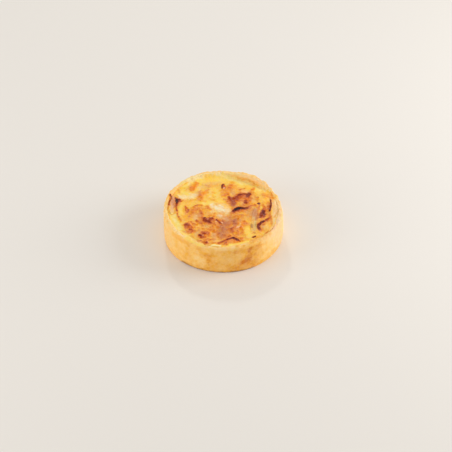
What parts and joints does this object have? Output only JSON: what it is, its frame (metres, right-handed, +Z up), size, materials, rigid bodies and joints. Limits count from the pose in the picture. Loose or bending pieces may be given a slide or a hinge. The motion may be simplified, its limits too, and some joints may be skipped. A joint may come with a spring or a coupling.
{
  "type": "quiche",
  "caption": "Round single-serving quiche with a straight-sided shortcrust case, a browned custard and cheese filling, and onion slices baked into its top.",
  "frame": {"origin": "middle of the underside, on the surface that the quiche stands on", "axes": "+Z up through the middle of the filling, -Y towards the side shown in front, +X to that view's right"},
  "size_m": [0.1104, 0.1105, 0.0325],
  "materials": {
    "pastry": "matte, golden baked shortcrust, paler at the rim",
    "filling": "satin, browned custard and cheese",
    "onion": "satin, roasted"
  },
  "bodies": {
    "root": {"pastry_case": "pastry", "filling": "filling", "onion_petal_left": "onion", "onion_petal_right": "onion", "onion_band_right": "onion", "onion_arch_back": "onion", "onion_strip_centre": "onion", "onion_strip_right": "onion", "onion_curl_right": "onion", "onion_arch_front": "onion", "onion_tip_back": "onion", "onion_strip_front": "onion", "onion_bit_left": "onion", "onion_bit_front": "onion"}
  },
  "joints": []
}
